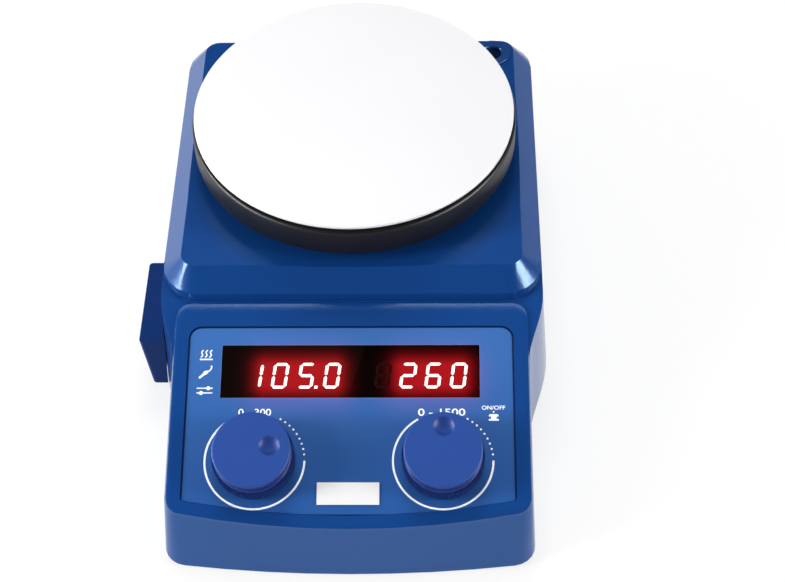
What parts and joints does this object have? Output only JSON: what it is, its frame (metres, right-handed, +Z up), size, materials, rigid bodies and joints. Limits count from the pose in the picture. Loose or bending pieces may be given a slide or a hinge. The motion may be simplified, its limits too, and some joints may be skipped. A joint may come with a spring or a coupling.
{
  "type": "hotplate stirrer",
  "caption": "Benchtop hotplate magnetic stirrer: round ceramic-faced heating plate on a painted cast housing, sloping console with digital display and push-and-turn knobs.",
  "frame": {"origin": "on the table, at the middle of the whole box in X and Y", "axes": "+Z up, the console and its knobs face -Y, the mains inlet faces +Y, the side pod is at -X"},
  "size_m": [0.1732, 0.253, 0.085],
  "materials": {
    "body_paint": "satin textured blue paint on cast metal",
    "overlay_film": "satin light blue printed film",
    "window_acrylic": "glossy dark red tinted window",
    "led_red": "red light-emitting display module",
    "circuit_board": "green circuit board",
    "label_paper": "plain white sticker",
    "zinc_metal": "bare die-cast metal",
    "plated_steel": "zinc plated steel",
    "black_plastic": "black moulded plastic",
    "knob_plastic": "satin blue moulded plastic",
    "white_ceramic": "smooth white ceramic coating",
    "dark_casting": "black coated aluminium",
    "mica_heater": "mica foil heater",
    "mineral_wool": "pressed mineral insulation",
    "dark_enamel": "satin black-grey enamel",
    "copper_winding": "varnished copper windings",
    "dark_magnet": "nickel plated magnet",
    "cast_aluminium": "machined aluminium",
    "base_paint": "grey powder-coated sheet steel",
    "foot_rubber": "black rubber",
    "transformer_body": "taped winding and core",
    "relay_plastic": "moulded relay case",
    "pod_plastic": "glossy navy moulded plastic",
    "rocker_red": "glossy red rocker",
    "bush_paint": "painted metal bush"
  },
  "bodies": {
    "case": {"upper_housing": "body_paint", "control_overlay": "overlay_film", "display_window": "window_acrylic", "heat_display": "led_red", "speed_display": "led_red", "control_board": "circuit_board", "blank_label": "label_paper", "heat_encoder": "zinc_metal", "heat_nut": "plated_steel", "speed_encoder": "zinc_metal", "speed_nut": "plated_steel", "plate_cover": "white_ceramic", "heating_plate": "dark_casting", "heater_element": "mica_heater", "insulation_disc": "mineral_wool", "plate_sensor": "plated_steel", "heater_pan": "dark_enamel", "plate_neck": "dark_enamel", "plate_screw_1": "plated_steel", "plate_screw_2": "plated_steel", "plate_screw_3": "plated_steel", "motor_housing": "zinc_metal", "motor_end_plate": "zinc_metal", "motor_bearing_lower": "plated_steel", "motor_bearing_upper": "plated_steel", "motor_stator": "copper_winding", "motor_bracket": "plated_steel", "bracket_screw_1": "plated_steel", "bracket_screw_2": "plated_steel", "bracket_screw_3": "plated_steel", "base_plate": "base_paint", "base_screw_1": "plated_steel", "base_screw_2": "plated_steel", "base_screw_3": "plated_steel", "base_screw_4": "plated_steel", "foot_front_left": "foot_rubber", "foot_front_right": "foot_rubber", "foot_rear_left": "foot_rubber", "foot_rear_right": "foot_rubber", "power_board": "circuit_board", "transformer": "transformer_body", "heater_relay": "relay_plastic", "mains_inlet": "black_plastic", "sensor_socket": "zinc_metal", "switch_pod": "pod_plastic", "switch_frame": "black_plastic", "support_rod_bush": "bush_paint"},
    "heat_push": {"heat_plunger": "black_plastic"},
    "heat_turn": {"heat_shaft": "plated_steel", "heat_knob": "knob_plastic"},
    "speed_push": {"speed_plunger": "black_plastic"},
    "speed_turn": {"speed_shaft": "plated_steel", "speed_knob": "knob_plastic"},
    "drive": {"motor_rotor": "dark_magnet", "motor_shaft": "plated_steel", "magnet_holder": "cast_aluminium", "drive_magnet_left": "dark_magnet", "drive_magnet_right": "dark_magnet"},
    "rocker": {"power_rocker": "rocker_red"},
    "drawer": {"fuse_drawer": "black_plastic"}
  },
  "joints": [
    {"name": "heat_knob_push", "type": "slide", "parent": "case", "child": "heat_push", "axis": [0, 0.2924, -0.9563], "range_m": [0, 0.0008], "stiffness_N_per_m": 900, "springref_m": -0.0012},
    {"name": "heat_knob_turn", "type": "hinge", "parent": "heat_push", "child": "heat_turn", "pos_m": [-0.03245, -0.09273, 0.03164], "axis": [0, -0.2924, 0.9563], "continuous": true},
    {"name": "speed_knob_push", "type": "slide", "parent": "case", "child": "speed_push", "axis": [0, 0.2924, -0.9563], "range_m": [0, 0.0008], "stiffness_N_per_m": 900, "springref_m": -0.0012},
    {"name": "speed_knob_turn", "type": "hinge", "parent": "speed_push", "child": "speed_turn", "pos_m": [0.04175, -0.09273, 0.03164], "axis": [0, -0.2924, 0.9563], "continuous": true},
    {"name": "drive_spin", "type": "hinge", "parent": "case", "child": "drive", "pos_m": [0.00465, 0.0495, 0.06], "axis": [0, 0, 1], "continuous": true},
    {"name": "rocker_tip", "type": "hinge", "parent": "case", "child": "rocker", "pos_m": [-0.08395, -0.01065, 0.016], "axis": [0, 0, 1], "range_deg": [0, 14]},
    {"name": "fuse_drawer_pull", "type": "slide", "parent": "case", "child": "drawer", "axis": [0, 1, 0], "range_m": [0, 0.016]}
  ]
}
